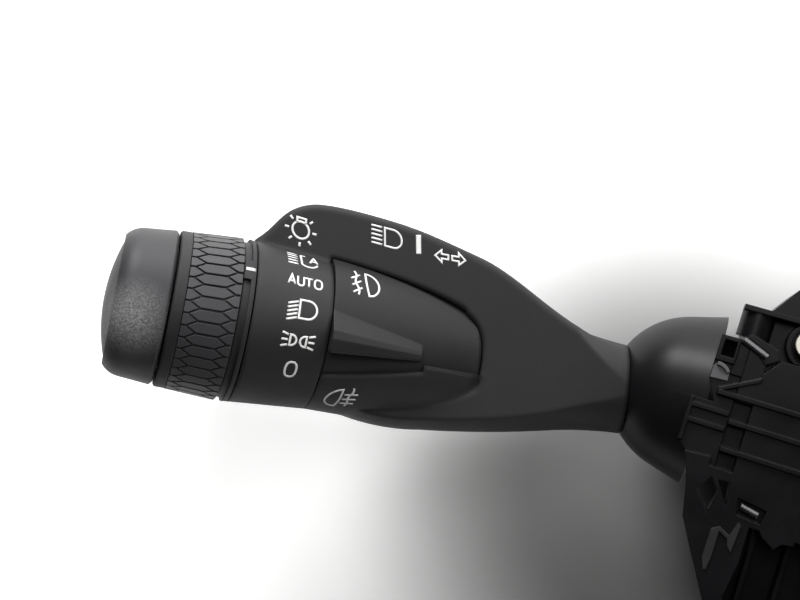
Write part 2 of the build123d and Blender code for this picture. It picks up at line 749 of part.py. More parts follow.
with BuildPart() as switch_housing:
    floor, shelf = cover_thickness, deck_top - deck_thickness
    slab(main_outline, floor, shelf)
    slab(lower_outline, floor, lower_deck)
    slab(upper_outline, floor, upper_deck)
    fillet(
        corners(
            switch_housing.part,
            [(case_end, lower_edge), (case_end, upper_edge), (-7, 27.9), (-9, -37)],
        ),
        radius=corner_round,
    )
    slab(arm_foot, lower_deck - 1, shelf)
    # gussets that brace the high part over the upper shelf
    for x in (12, 27, 42, 57):
        prism(
            [(main_half_width - 0.1, upper_deck), (30, upper_deck), (main_half_width - 0.1, shelf - 4)],
            Plane.YZ.offset(x), 1.5,
        )
    # chamber for the carrier, and cored-out cells behind the lower wall
    block(wall_x + case_wall, case_end - case_wall, 2 - main_half_width, 10.6, floor, shelf, Mode.SUBTRACT)
    block(wall_x + case_wall, case_end - case_wall, 10, main_half_width - 2, floor, shelf - 4, Mode.SUBTRACT)
    for cell in range(4):
        x = 1 + cell * 15
        block(x, x + 13, lower_edge + 3, -main_half_width - 3.5, floor, lower_deck - 2.5, Mode.SUBTRACT)
    # way in for the lever
    with BuildSketch(Plane.YZ.offset(wall_x - 1)):
        with Locations((0, pivot_height)):
            Circle(lever_opening)
    extrude(amount=case_wall + 2, mode=Mode.SUBTRACT)
    # rim and curved wall of the sunk strip beside the deck
    block(wall_x - barrel_radius, case_end, 19.0, main_half_width, shelf, deck_top + 0.3)
    with BuildSketch(Plane.XY.offset(shelf)):
        with BuildLine():
            arc = ThreePointArc((-6.2, 11.5), (-8.6, 16.0), (-6.6, 19.2))
            inner = ThreePointArc((-5.8, 19.2), (-7.7, 16.0), (-5.4, 11.5))
            Line(arc @ 1, inner @ 0)
            Line(inner @ 1, arc @ 0)
        make_face()
    extrude(amount=deck_thickness - 0.4)
    # barrel along the upper corner
    with BuildSketch(Plane.XZ.offset(-14.2)):
        with Locations((wall_x, deck_top - barrel_radius)):
            Circle(barrel_radius)
    extrude(amount=-(main_half_width - 14.2))
    # cross ribs of the lower deck
    for row in range(11):
        x = -3.8 + row * 6.3
        block(x, x + rib_thickness, lower_edge, -main_half_width, lower_deck, lower_deck + 4)
    # window for the connector tails
    block(19.5, 40.5, lower_edge - 1, lower_edge + 4, 8.5, 19.5, mode=Mode.SUBTRACT)
    # mounting lugs
    with BuildSketch(Plane.XY):
        lugs(lug_radius)
    extrude(amount=lug_height)
    for x in (lug_centre[0] - lug_spacing[0] / 2, lug_centre[0] + lug_spacing[0] / 2):
        low, high = lug_centre[1] - lug_spacing[1] / 2, lug_centre[1] + lug_spacing[1] / 2
        block(x - lug_radius, x + lug_radius, low, lower_edge + 0.5, 0, lug_height)
        block(x - lug_radius, x + lug_radius, upper_edge - 0.5, high, 0, lug_height)
    with BuildSketch(Plane.XY):
        lugs(lug_hole_radius)
    extrude(amount=lug_height, mode=Mode.SUBTRACT)
    # bosses and pilot holes of the cover screws
    with BuildSketch(Plane.XY.offset(floor)):
        with Locations(*cover_screw_spots):
            Circle(3)
    extrude(amount=12)
    with BuildSketch(Plane.XY.offset(floor)):
        with Locations(*cover_screw_spots):
            Circle(screw_shank_radius + 0.02)
    extrude(amount=screw_shank_length, mode=Mode.SUBTRACT)
save(switch_housing.part, "switch_housing")

with BuildPart() as housing_deck:
    slab(deck_outline, shelf, deck_top)
    # arm that reaches round under the bell, with its two see-through windows
    slab(arm_outline, shelf, deck_top)
    for window in arm_windows:
        slab(window, shelf, deck_top, Mode.SUBTRACT)
    # floor of the notch beside the sunk strip, block under the long rod, recess of the short one
    block(step_x + 0.2, -8.6, 8.2, 11.4, shelf, shelf + 1)
    slab(rod_block, shelf, deck_top + 0.2)
    slab(pin_recess, deck_top - 1.2, deck_top, Mode.SUBTRACT)
    slab(edge_hook, deck_top - 2.5, deck_top)
    # sunk ledge along the deck's edge
    block(wall_x - 1, step_x, -11.3, 1.8, deck_top - 1.8, deck_top, Mode.SUBTRACT)
    # nose over the bell rim: plate, window frame, side rib and cross ribs
    slab(nose_outline, nose_bottom, nose_bottom + 0.8)
    block(-20, -16.4, 8.3, 13.3, nose_bottom, deck_top)
    block(-19.2, -16.9, 9.4, 12.5, nose_bottom, deck_top, Mode.SUBTRACT)
    block(-16.6, wall_x + 0.1, 6.4, 13.3, nose_bottom, deck_top - 0.4)
    block(-22.3, -21.5, -8.2, 0.5, nose_bottom, deck_top)
    for y in (-1, -4):
        block(-22.3, wall_x - 0.2, y - rib_thickness / 2, y + rib_thickness / 2, nose_bottom, deck_top)
    # long ribs of the deck
    for y in (2.6, -2.3, -7.6):
        start = -17.9 if y > 0 else wall_x
        block(start, case_end - 3, y - rib_thickness / 2, y + rib_thickness / 2, nose_bottom, deck_top + 0.8)
    slab([(-17.9, 2.6), (-10.9, 6.4), (-10.9, 7.3), (-17.9, 3.4)], nose_bottom, deck_top + 0.3)
    # seats of the metal rods
    for start, end, radius in rod_seats:
        with BuildSketch(Plane(origin=start, z_dir=Vector(*end) - Vector(*start))):
            Circle(radius + 0.02)
        extrude(amount=(Vector(*end) - Vector(*start)).length, mode=Mode.SUBTRACT)
    # bore for the upper bush
    with BuildSketch(Plane.XY.offset(shelf)):
        Circle(bush_radius)
    extrude(amount=deck_thickness - 0.8, mode=Mode.SUBTRACT)
save(housing_deck.part, "housing_deck")

with BuildPart() as rear_cover:
    # plate that closes the housing and lies on the column, notched round the mounting lugs
    cover_low, cover_high = lower_edge + 0.4, upper_edge - 0.4
    slab(main_outline, 0, cover_thickness)
    slab([(-5.5, -main_half_width), (case_end, -main_half_width), (case_end, cover_low), (0, cover_low)],
         0, cover_thickness)
    slab([(-5, main_half_width), (case_end, main_half_width), (case_end, cover_high), (4, cover_high)],
         0, cover_thickness)
    fillet(corners(rear_cover.part, [(case_end, cover_low), (case_end, cover_high)]), radius=corner_round)
    for x in (6, 54):
        block(x - 5.2, x + 5.2, cover_low, cover_low + 1.3, 0, cover_thickness, Mode.SUBTRACT)
        block(x - 5.2, x + 5.2, cover_high - 1.3, cover_high, 0, cover_thickness, Mode.SUBTRACT)
    with BuildSketch(Plane.XY.offset(cover_thickness)):
        Circle(bush_radius + 2.2)
        Circle(bush_radius, mode=Mode.SUBTRACT)
    extrude(amount=4)
    with BuildSketch(Plane.XY):
        with Locations(*cover_screw_spots):
            Circle(screw_shank_radius + 0.1)
    extrude(amount=cover_thickness, mode=Mode.SUBTRACT)
    with BuildSketch(Plane.XY):
        with Locations(*cover_screw_spots):
            Circle(screw_head_radius + 0.2)
    extrude(amount=1.6, mode=Mode.SUBTRACT)
save(rear_cover.part, "rear_cover")

with BuildPart() as cover_screws:
    with BuildSketch(Plane.XY.offset(0.2)):
        with Locations(*cover_screw_spots):
            Circle(screw_head_radius)
    extrude(amount=1.4)
    with BuildSketch(Plane.XY.offset(0.2)):
        with Locations(*cover_screw_spots):
            Circle(screw_shank_radius)
    extrude(amount=screw_shank_length)
save(cover_screws.part, "cover_screws")

# ---------------------------------------------------------------- boards and connector
board_low, board_high = 6.6, 8.2

with BuildPart() as circuit_board:
    block(9.5, 51, -15.5, 15.5, board_low, board_high)
    with BuildSketch(Plane.XY.offset(cover_thickness)):
        with Locations((13, 0), (48, 12), (48, -12)):
            Circle(1.6)
    extrude(amount=board_low - cover_thickness)
save(circuit_board.part, "circuit_board")

with BuildPart() as sensor_chips:
    block(10, 15, -2.5, 2.5, board_high, board_high + 1)
    for x in (36, 45):
        block(x - 3, x + 3, -4, 4, board_high, board_high + 1.2)
save(sensor_chips.part, "sensor_chips")

with BuildPart() as connector_shroud:
    block(17, 43, lower_edge - 16, lower_edge, 6, 22)
    block(19, 41, lower_edge - 16, lower_edge - 2, 8, 20, Mode.SUBTRACT)
    with BuildSketch(Plane.XZ.offset(-lower_edge + 1)):
        with Locations((30, 14)), GridLocations(3.2, 4, 6, 2):
            Rectangle(1.04, 1.04)
    extrude(amount=4, both=True, mode=Mode.SUBTRACT)
    # latch step on the outer side
    block(26, 34, lower_edge - 11, lower_edge - 8, 22, 23.2)
save(connector_shroud.part, "connector_shroud")

with BuildPart() as connector_pins:
    with BuildSketch(Plane.XZ.offset(-lower_edge - 2)):
        with Locations((30, 14)), GridLocations(3.2, 4, 6, 2):
            Rectangle(1, 1)
    extrude(amount=12)
save(connector_pins.part, "connector_pins")

# ---------------------------------------------------------------- small fittings seen on the deck
with BuildPart() as post_bush:
    with BuildSketch(Plane.XY.offset(deck_top - deck_thickness)):
        with Locations((-4.4, 15.8)):
            Circle(2.7)
            Circle(1.1, mode=Mode.SUBTRACT)
    extrude(amount=deck_thickness + 0.4)
save(post_bush.part, "post_bush")

with BuildPart() as metal_rods:
    for start, end, radius in rod_seats:
        with BuildSketch(Plane(origin=start, z_dir=Vector(*end) - Vector(*start))):
            Circle(radius)
        extrude(amount=(Vector(*end) - Vector(*start)).length)
save(metal_rods.part, "metal_rods")

with BuildPart() as retaining_clip:
    # folded sheet clip on the arm: a blade, a fold and a narrow tongue
    top = deck_top + clip_thickness
    slab(
        [(-11.9, -22.4), (-10.4, -21.5), (-10.4, -27), (-10.7, -30), (-11.2, -30.2), (-12, -28)],
        deck_top, top,
    )
    slab([(-10.6, -22.3), (-10.4, -21.6), (-8.2, -22.7), (-8.6, -23.3)], deck_top, top)
    slab([(-8.7, -23.3), (-7.6, -19.7), (-7.0, -20.2), (-7.4, -25.6), (-8.2, -24.7)], deck_top, top)
save(retaining_clip.part, "retaining_clip")

with BuildPart() as stop_pad:
    # light buffer beside the window of the nose, with a curved lip
    pad_low = nose_bottom + 0.8
    slab(
        [(-19.9, 4.8), (-16.7, 5), (-16.7, 6.8), (-17.4, 7.5), (-19.3, 8), (-19.9, 7)],
        pad_low, deck_top - 0.5,
    )
    with BuildSketch(Plane.XY.offset(pad_low)):
        with BuildLine():
            lip = ThreePointArc((-19.3, 8.1), (-17.7, 7.7), (-16.75, 6.7))
            back = ThreePointArc((-17.2, 6.4), (-18, 7.1), (-19.4, 7.4))
            Line(lip @ 1, back @ 0)
            Line(back @ 1, lip @ 0)
        make_face()
    extrude(amount=deck_top + 0.3 - pad_low)
save(stop_pad.part, "stop_pad")
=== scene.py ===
import math

import bpy
from mathutils import Matrix, Vector


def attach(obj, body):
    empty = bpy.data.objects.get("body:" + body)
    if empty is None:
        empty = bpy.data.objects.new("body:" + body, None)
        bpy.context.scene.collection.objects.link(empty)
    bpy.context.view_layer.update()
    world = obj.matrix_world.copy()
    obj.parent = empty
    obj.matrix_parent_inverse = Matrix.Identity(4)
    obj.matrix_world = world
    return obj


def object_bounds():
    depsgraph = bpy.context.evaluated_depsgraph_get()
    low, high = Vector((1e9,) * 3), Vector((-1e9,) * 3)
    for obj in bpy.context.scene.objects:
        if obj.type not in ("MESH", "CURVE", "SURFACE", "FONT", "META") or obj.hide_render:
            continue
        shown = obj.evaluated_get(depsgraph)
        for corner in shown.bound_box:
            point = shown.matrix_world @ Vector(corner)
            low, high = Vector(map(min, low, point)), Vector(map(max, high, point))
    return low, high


bl_info = {
    "name": "Column stalk switch dresser",
    "version": (1, 0, 0),
    "blender": (4, 5, 0),
    "location": "View3D > Sidebar > Stalk switch",
    "description": "Finishes, printed legends and stage of a combination stalk switch",
    "category": "Object",
}

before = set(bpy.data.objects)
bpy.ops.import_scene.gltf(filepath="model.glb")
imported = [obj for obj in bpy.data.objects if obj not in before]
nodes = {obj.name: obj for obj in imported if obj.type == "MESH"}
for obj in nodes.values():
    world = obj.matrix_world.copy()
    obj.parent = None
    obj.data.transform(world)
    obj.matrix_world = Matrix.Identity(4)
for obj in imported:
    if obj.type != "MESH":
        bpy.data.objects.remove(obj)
cad_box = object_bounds()
MM = 0.001

# ---------------------------------------------------------------- frames of the stalk, in millimetres
stalk_yaw = math.radians(7)  # turn of the whole stalk in plan
body_rise = math.radians(15)  # slope of the body and neck
knob_rise = math.radians(32)  # slope of the knob end
dogleg = Vector((-84.5, -8.9, 39.8))  # where the two slopes meet
seam_offset = 15.7  # from the dogleg to the zero of the stations along the knob
collar_radius = 16.45  # of the collar under its legends
tray_corners = (-19.3, 9.3, 44.25), (-16.8, 12.6, 44.9)  # low and high corner of the nose window's tray, a dark sheet of painted shade

# ---------------------------------------------------------------- painted highlight, painted shade and small sizes, in metres
tray_rim = 0.0004  # width and depth of the tray's rim
highlight_spot = (-0.1218, -0.0166, 0.0799)  # middle of the painted highlight on the end cap
highlight_reach = 0.0095
shade_centre = (-0.020, -0.025, 0.0)  # of the painted shade on the table near the housing
shade_near, shade_far = 0.030, 0.088  # where the painted shade starts to fade and where it ends
shade_depth = 0.22  # share of the table's paleness that the painted shade leaves


def sloped(rise):
    """Direction of a stalk line that climbs by rise, towards the knob end."""
    reach = math.cos(rise)
    return Vector((-reach * math.cos(stalk_yaw), -reach * math.sin(stalk_yaw), math.sin(rise)))


def facing(rise):
    """Direction square to a stalk line that climbs by rise, towards the driver."""
    reach = math.sin(rise)
    return Vector((reach * math.cos(stalk_yaw), reach * math.sin(stalk_yaw), math.cos(rise)))


body_dir, body_up = sloped(body_rise), facing(body_rise)
knob_dir, knob_up = sloped(knob_rise), facing(knob_rise)
wing_dir = knob_dir.cross(knob_up)
seam_point = dogleg + knob_dir * seam_offset


def on_face(u, h):
    """Point of the flat front face: u along the stalk, h towards the wing, in metres."""
    height = bpy.context.scene.stalk_sizes.face_height / MM
    return (dogleg + body_dir * u + wing_dir * h + body_up * height) * MM


def spoke(angle):
    """Direction out from the knob axis, angle in degrees below the driver's side."""
    t = math.radians(angle)
    return knob_up * math.cos(t) - wing_dir * math.sin(t)


def round_knob(s, angle, radius):
    """Point round the knob axis, s along it, in metres."""
    return (seam_point + knob_dir * s + spoke(angle) * radius) * MM


# ---------------------------------------------------------------- stage, in metres and watts
# name, place, width and height, power of each soft lamp
LAMPS = (
    ("Window softbox", (-0.31, 0.45, 0.32), (0.25, 0.25), 3.7),
    ("Right softbox", (0.42, 0.42, 0.2), (0.3, 0.3), 1.4),
    ("Overhead softbox", (-0.05, 0.2, 0.6), (0.25, 0.25), 1.0),
    ("Far softbox", (0.18, 0.42, 0.45), (0.25, 0.25), 0.75),
    ("Low far softbox", (0.02, 0.75, 0.10), (0.9, 0.2), 2.2),
    ("Near softbox", (0.30, -0.45, 0.10), (0.4, 0.2), 0.4),
)
aim_point = Vector((-0.05, 0, 0.03))  # all lamps face it
room_strength = 0.03
table_width = 6
table_drop = 0.0002  # gap under the object
eye_point = Vector((-27.9125, 1.4933, 238.338))  # in millimetres
eye_right = Vector((0.91926, 0.29237, -0.26359))
eye_up = Vector((-0.28105, 0.9563, 0.08059))


# ---------------------------------------------------------------- settings
class StalkSizes(bpy.types.PropertyGroup):
    """Sizes that a user would change"""

    face_height: bpy.props.FloatProperty(
        name="Face height", description="Flat front face above the stalk axis", default=0.0095, unit="LENGTH"
    )
    legend_lift: bpy.props.FloatProperty(
        name="Legend height", description="How far the legends stand proud", default=0.00004, unit="LENGTH"
    )
    legend_stroke: bpy.props.FloatProperty(
        name="Legend stroke", description="Line width of the printed legends", default=0.00042, unit="LENGTH"
    )
    crease_round: bpy.props.FloatProperty(
        name="Crease rounding", description="Rounding of the stalk's creases", default=0.0014, unit="LENGTH"
    )


def colour_setting(name, description, default, top=1.0):
    """A colour that a user can change; top is the most a channel may be."""
    return bpy.props.FloatVectorProperty(
        name=name, description=description, default=default, max=top, subtype="COLOR"
    )


class StalkColours(bpy.types.PropertyGroup):
    """Colours that a user would change"""

    shell: colour_setting("Stalk shell", "Satin plastic of the stalk", (0.018, 0.0176, 0.0192))
    # the shell's plastic made a little darker: painted shade on the fog knob
    rocker: colour_setting("Fog rocker", "Satin plastic of the fog knob", (0.0155, 0.0151, 0.0165))
    cap: colour_setting("End cap", "Satin plastic of the end cap", (0.031, 0.030, 0.033))
    # the pale patch of the end cap is a painted highlight
    cap_highlight: colour_setting("Painted highlight", "Polish that thumbs leave on the end cap", (0.34, 0.335, 0.34))
    tread: colour_setting("Tread", "Soft plastic of the ring tread", (0.046, 0.0445, 0.048))
    bell: colour_setting("Dust bell", "Smooth plastic of the bell", (0.006, 0.0058, 0.0066))
    housing: colour_setting("Housing", "Plastic of the switch housing", (0.0048, 0.0046, 0.0054))
    legend: colour_setting("Legends", "White print of the legends", (0.88, 0.89, 0.87))
    table: colour_setting("Table", "Pale table top", (1.5, 1.5, 1.49), 2.0)


# ---------------------------------------------------------------- node groups
def group_sockets(group, inputs, outputs):
    """Gives a node group its named sockets; returns its entry and its result node."""
    for name, kind, value in inputs:
        socket = group.interface.new_socket(name=name, in_out="INPUT", socket_type=kind)
        socket.default_value = value
    for name, kind in outputs:
        group.interface.new_socket(name=name, in_out="OUTPUT", socket_type=kind)
    return group.nodes.new("NodeGroupInput"), group.nodes.new("NodeGroupOutput")


def moulded_grain_group():
    """Fine pitted grain of moulded plastic: a height and a patchy mask."""
    group = bpy.data.node_groups.new("Moulded grain", "ShaderNodeTree")
    entry, result = group_sockets(
        group,
        [("Scale", "NodeSocketFloat", 3000.0), ("Patch Scale", "NodeSocketFloat", 90.0)],
        [("Height", "NodeSocketFloat"), ("Patches", "NodeSocketFloat")],
    )
    place = group.nodes.new("ShaderNodeTexCoord")
    fine = group.nodes.new("ShaderNodeTexNoise")
    fine.inputs["Detail"].default_value = 3.0
    pits = group.nodes.new("ShaderNodeTexVoronoi")
    pits.feature = "SMOOTH_F1"
    patches = group.nodes.new("ShaderNodeTexNoise")
    patches.inputs["Detail"].default_value = 4.0
    patches.inputs["Roughness"].default_value = 0.6
    both = group.nodes.new("ShaderNodeMath")
    both.operation = "MULTIPLY_ADD"
    both.inputs[1].default_value = 0.6
    for texture, socket in ((fine, "Scale"), (pits, "Scale"), (patches, "Patch Scale")):
        group.links.new(place.outputs["Object"], texture.inputs["Vector"])
        group.links.new(entry.outputs[socket], texture.inputs["Scale"])
    group.links.new(pits.outputs["Distance"], both.inputs[0])
    group.links.new(fine.outputs["Fac"], both.inputs[2])
    group.links.new(both.outputs["Value"], result.inputs["Height"])
    group.links.new(patches.outputs["Fac"], result.inputs["Patches"])
    return group


def worn_tone_group():
    """Colour and roughness that drift a little over a surface."""
    group = bpy.data.node_groups.new("Worn tone", "ShaderNodeTree")
    entry, result = group_sockets(
        group,
        [
            ("Colour", "NodeSocketColor", (0.05, 0.05, 0.05, 1)),
            ("Patches", "NodeSocketFloat", 0.5),
            ("Grain", "NodeSocketFloat", 0.5),
            ("Drift", "NodeSocketFloat", 0.25),
            ("Roughness", "NodeSocketFloat", 0.5),
        ],
        [("Colour", "NodeSocketColor"), ("Roughness", "NodeSocketFloat")],
    )
    spread = group.nodes.new("ShaderNodeMapRange")
    spread.inputs["From Min"].default_value = 0.3
    spread.inputs["From Max"].default_value = 0.7
    low = group.nodes.new("ShaderNodeMath")
    low.operation = "SUBTRACT"
    low.inputs[0].default_value = 1.0
    high = group.nodes.new("ShaderNodeMath")
    high.operation = "ADD"
    high.inputs[0].default_value = 1.0
    tint = group.nodes.new("ShaderNodeVectorMath")
    tint.operation = "SCALE"
    fleck = group.nodes.new("ShaderNodeMath")
    fleck.operation = "MULTIPLY_ADD"
    fleck.inputs[1].default_value = 0.16
    rough = group.nodes.new("ShaderNodeMath")
    rough.operation = "MULTIPLY"
    group.links.new(entry.outputs["Drift"], low.inputs[1])
    group.links.new(entry.outputs["Drift"], high.inputs[1])
    group.links.new(entry.outputs["Patches"], spread.inputs["Value"])
    group.links.new(low.outputs["Value"], spread.inputs["To Min"])
    group.links.new(high.outputs["Value"], spread.inputs["To Max"])
    group.links.new(entry.outputs["Colour"], tint.inputs["Vector"])
    group.links.new(spread.outputs["Result"], tint.inputs["Scale"])
    group.links.new(tint.outputs["Vector"], result.inputs["Colour"])
    group.links.new(entry.outputs["Grain"], fleck.inputs[0])
    group.links.new(spread.outputs["Result"], fleck.inputs[2])
    group.links.new(fleck.outputs["Value"], rough.inputs[0])
    group.links.new(entry.outputs["Roughness"], rough.inputs[1])
    group.links.new(rough.outputs["Value"], result.inputs["Roughness"])
    return group


def painted_highlight_group():
    """Round patch of painted highlight, broken up into fine specks."""
    group = bpy.data.node_groups.new("Painted highlight", "ShaderNodeTree")
    entry, result = group_sockets(
        group,
        [
            ("Centre", "NodeSocketVector", (0, 0, 0)),
            ("Radius", "NodeSocketFloat", 0.01),
            ("Speck Scale", "NodeSocketFloat", 2600.0),
        ],
        [("Mask", "NodeSocketFloat")],
    )
    place = group.nodes.new("ShaderNodeTexCoord")
    reach = group.nodes.new("ShaderNodeVectorMath")
    reach.operation = "DISTANCE"
    fade = group.nodes.new("ShaderNodeMapRange")
    fade.interpolation_type = "SMOOTHSTEP"
    fade.inputs["From Min"].default_value = 0.0
    fade.inputs["To Min"].default_value = 1.0
    fade.inputs["To Max"].default_value = 0.0
    specks = group.nodes.new("ShaderNodeTexNoise")
    specks.inputs["Detail"].default_value = 2.0
    sharp = group.nodes.new("ShaderNodeMapRange")
    sharp.inputs["From Min"].default_value = 0.35
    sharp.inputs["From Max"].default_value = 0.68
    sharp.inputs["To Min"].default_value = 0.35
    both = group.nodes.new("ShaderNodeMath")
    both.operation = "MULTIPLY"
    group.links.new(place.outputs["Object"], reach.inputs[0])
    group.links.new(entry.outputs["Centre"], reach.inputs[1])
    group.links.new(reach.outputs["Value"], fade.inputs["Value"])
    group.links.new(entry.outputs["Radius"], fade.inputs["From Max"])
    group.links.new(place.outputs["Object"], specks.inputs["Vector"])
    group.links.new(entry.outputs["Speck Scale"], specks.inputs["Scale"])
    group.links.new(specks.outputs["Fac"], sharp.inputs["Value"])
    group.links.new(fade.outputs["Result"], both.inputs[0])
    group.links.new(sharp.outputs["Result"], both.inputs[1])
    group.links.new(both.outputs["Value"], result.inputs["Mask"])
    return group


def near_shade_group():
    """Painted shade on a table top close under a bulky thing, fading to its full paleness further out."""
    group = bpy.data.node_groups.new("Near shade", "ShaderNodeTree")
    entry, result = group_sockets(
        group,
        [
            ("Colour", "NodeSocketColor", (0.8, 0.8, 0.8, 1)),
            ("Centre", "NodeSocketVector", (0, 0, 0)),
            ("Near", "NodeSocketFloat", 0.02),
            ("Far", "NodeSocketFloat", 0.09),
            ("Depth", "NodeSocketFloat", 0.2),
        ],
        [("Colour", "NodeSocketColor")],
    )
    place = group.nodes.new("ShaderNodeTexCoord")
    reach = group.nodes.new("ShaderNodeVectorMath")
    reach.operation = "DISTANCE"
    fade = group.nodes.new("ShaderNodeMapRange")
    fade.interpolation_type = "SMOOTHSTEP"
    tint = group.nodes.new("ShaderNodeVectorMath")
    tint.operation = "SCALE"
    group.links.new(place.outputs["Object"], reach.inputs[0])
    group.links.new(entry.outputs["Centre"], reach.inputs[1])
    group.links.new(reach.outputs["Value"], fade.inputs["Value"])
    group.links.new(entry.outputs["Near"], fade.inputs["From Min"])
    group.links.new(entry.outputs["Far"], fade.inputs["From Max"])
    group.links.new(entry.outputs["Depth"], fade.inputs["To Min"])
    group.links.new(entry.outputs["Colour"], tint.inputs["Vector"])
    group.links.new(fade.outputs["Result"], tint.inputs["Scale"])
    group.links.new(tint.outputs["Vector"], result.inputs["Colour"])
    return group


def shared_group(name, builder):
    """The node group of that name, built the first time it is asked for."""
    return bpy.data.node_groups.get(name) or builder()


# ---------------------------------------------------------------- materials
def moulded(
    name, colour, roughness,
    grain=3000.0, bump=0.05, drift=0.12, coat=0.0, metallic=0.0, edge=0.0002, shine=0.35,
):
    """Material of a moulded or machined piece: drifting tone, fine grain, and edges rounded by edge.

    grain is the pattern's scale, bump its height, drift the share by which the tone wanders, and
    shine the strength of plain reflections.
    """
    material = bpy.data.materials.get(name)
    if material:
        return material
    material = bpy.data.materials.new(name)
    material.use_nodes = True
    tree = material.node_tree
    shader = tree.nodes["Principled BSDF"]
    shader.inputs["Metallic"].default_value = metallic
    shader.inputs["Specular IOR Level"].default_value = shine
    shader.inputs["Coat Weight"].default_value = coat
    shader.inputs["Coat Roughness"].default_value = 0.25
    texture = tree.nodes.new("ShaderNodeGroup")
    texture.node_tree = shared_group("Moulded grain", moulded_grain_group)
    texture.inputs["Scale"].default_value = grain
    tone = tree.nodes.new("ShaderNodeGroup")
    tone.node_tree = shared_group("Worn tone", worn_tone_group)
    tone.inputs["Colour"].default_value = (*colour, 1)
    tone.inputs["Drift"].default_value = drift
    tone.inputs["Roughness"].default_value = roughness
    relief = tree.nodes.new("ShaderNodeBump")
    relief.inputs["Strength"].default_value = bump
    relief.inputs["Distance"].default_value = 0.0002
    rounding = tree.nodes.new("ShaderNodeBevel")
    rounding.samples = 6
    rounding.inputs["Radius"].default_value = edge
    tree.links.new(rounding.outputs["Normal"], relief.inputs["Normal"])
    tree.links.new(texture.outputs["Patches"], tone.inputs["Patches"])
    tree.links.new(texture.outputs["Height"], tone.inputs["Grain"])
    tree.links.new(texture.outputs["Height"], relief.inputs["Height"])
    tree.links.new(tone.outputs["Colour"], shader.inputs["Base Color"])
    tree.links.new(tone.outputs["Roughness"], shader.inputs["Roughness"])
    tree.links.new(relief.outputs["Normal"], shader.inputs["Normal"])
    return material


def paint_highlight(material, centre, radius, pale):
    """Lightens a patch of a finished material with a painted highlight."""
    tree = material.node_tree
    colour = tree.nodes["Principled BSDF"].inputs["Base Color"]
    patch = tree.nodes.new("ShaderNodeGroup")
    patch.node_tree = shared_group("Painted highlight", painted_highlight_group)
    patch.inputs["Centre"].default_value = centre
    patch.inputs["Radius"].default_value = radius
    blend = tree.nodes.new("ShaderNodeMixRGB")
    blend.inputs["Color2"].default_value = (*pale, 1)
    tree.links.new(colour.links[0].from_socket, blend.inputs["Color1"])
    tree.links.new(patch.outputs["Mask"], blend.inputs["Fac"])
    tree.links.new(blend.outputs["Color"], colour)
    return material


def table_finish(colour):
    """Matt table: as pale as written to the eye save for painted shade near the housing, and duller in what
    it throws back on the object.
    """
    material = moulded("Table white", colour, 0.7, grain=300.0, bump=0.01, drift=0.01)
    tree = material.node_tree
    shader = tree.nodes["Principled BSDF"]
    shader.inputs["Specular IOR Level"].default_value = 0.1
    # painted shade: the table's colour greys near the housing
    shade = tree.nodes.new("ShaderNodeGroup")
    shade.node_tree = shared_group("Near shade", near_shade_group)
    shade.inputs["Centre"].default_value = shade_centre
    shade.inputs["Near"].default_value = shade_near
    shade.inputs["Far"].default_value = shade_far
    shade.inputs["Depth"].default_value = shade_depth
    paint = shader.inputs["Base Color"]
    tree.links.new(paint.links[0].from_socket, shade.inputs["Colour"])
    tree.links.new(shade.outputs["Colour"], paint)
    dull = tree.nodes.new("ShaderNodeBsdfDiffuse")
    dull.inputs["Color"].default_value = (0.2, 0.2, 0.2, 1)
    rays = tree.nodes.new("ShaderNodeLightPath")
    mix = tree.nodes.new("ShaderNodeMixShader")
    tree.links.new(rays.outputs["Is Diffuse Ray"], mix.inputs["Fac"])
    tree.links.new(shader.outputs["BSDF"], mix.inputs[1])
    tree.links.new(dull.outputs["BSDF"], mix.inputs[2])
    tree.links.new(mix.outputs["Shader"], tree.nodes["Material Output"].inputs["Surface"])
    return material


def dress(names, material):
    """Gives CAD nodes a material, in every slot they have."""
    for name in names:
        piece = nodes[name]
        if not piece.material_slots:
            piece.data.materials.append(material)
        for place in piece.material_slots:
            place.material = material


# ---------------------------------------------------------------- modelling helpers
def deselect():
    """Leaves nothing selected, in object mode."""
    if bpy.context.object and bpy.context.object.mode != "OBJECT":
        bpy.ops.object.mode_set(mode="OBJECT")
    bpy.ops.object.select_all(action="DESELECT")


def settle(piece, name, material, body):
    """Applies a finished piece's place, names it and lets it ride its body."""
    deselect()
    piece.select_set(True)
    bpy.context.view_layer.objects.active = piece
    bpy.ops.object.transform_apply(location=True, rotation=True, scale=True)
    piece.name = name
    piece.data.name = name
    piece.data.materials.clear()
    piece.data.materials.append(material)
    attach(piece, body)
    return piece


def apply_modifier(piece, kind, **values):
    """Adds a modifier and applies it at once."""
    deselect()
    piece.select_set(True)
    bpy.context.view_layer.objects.active = piece
    modifier = piece.modifiers.new(kind.title(), kind)
    for key, value in values.items():
        setattr(modifier, key, value)
    bpy.ops.object.modifier_apply(modifier=modifier.name)
    return piece


# ---------------------------------------------------------------- strokes of the legends, in millimetres
def line(*points):
    """An open stroke through points of the drawing."""
    return points, False


def ring(centre, radius_x, radius_y, power=1.0, steps=36):
    """A closed oval stroke; a power below one makes it squarer."""
    turns = [math.tau * step / steps for step in range(steps)]
    return [
        (
            centre[0] + math.copysign(abs(math.cos(t)) ** power, math.cos(t)) * radius_x,
            centre[1] + math.copysign(abs(math.sin(t)) ** power, math.sin(t)) * radius_y,
        )
        for t in turns
    ], True


def bowl(back, nose, half, middle=0.0, bulge=0.0, steps=18):
    """The closed D of a lamp: its back, which may bulge, and a round nose on either side of it."""
    side = math.copysign(1, nose - back)
    straight = max(abs(nose - back) - half, 0.0)
    reach = abs(nose - back) - straight
    turns = [math.radians(90 - 180 * step / steps) for step in range(steps + 1)]
    front = [
        (back + side * (straight + math.cos(t) * reach), middle + math.sin(t) * half) for t in turns
    ]
    rear = [
        (back - side * math.cos(math.pi / 2 * y) * bulge, middle + y * half)
        for y in [step / 4 - 1 for step in range(9)]
    ]
    return front + rear, True


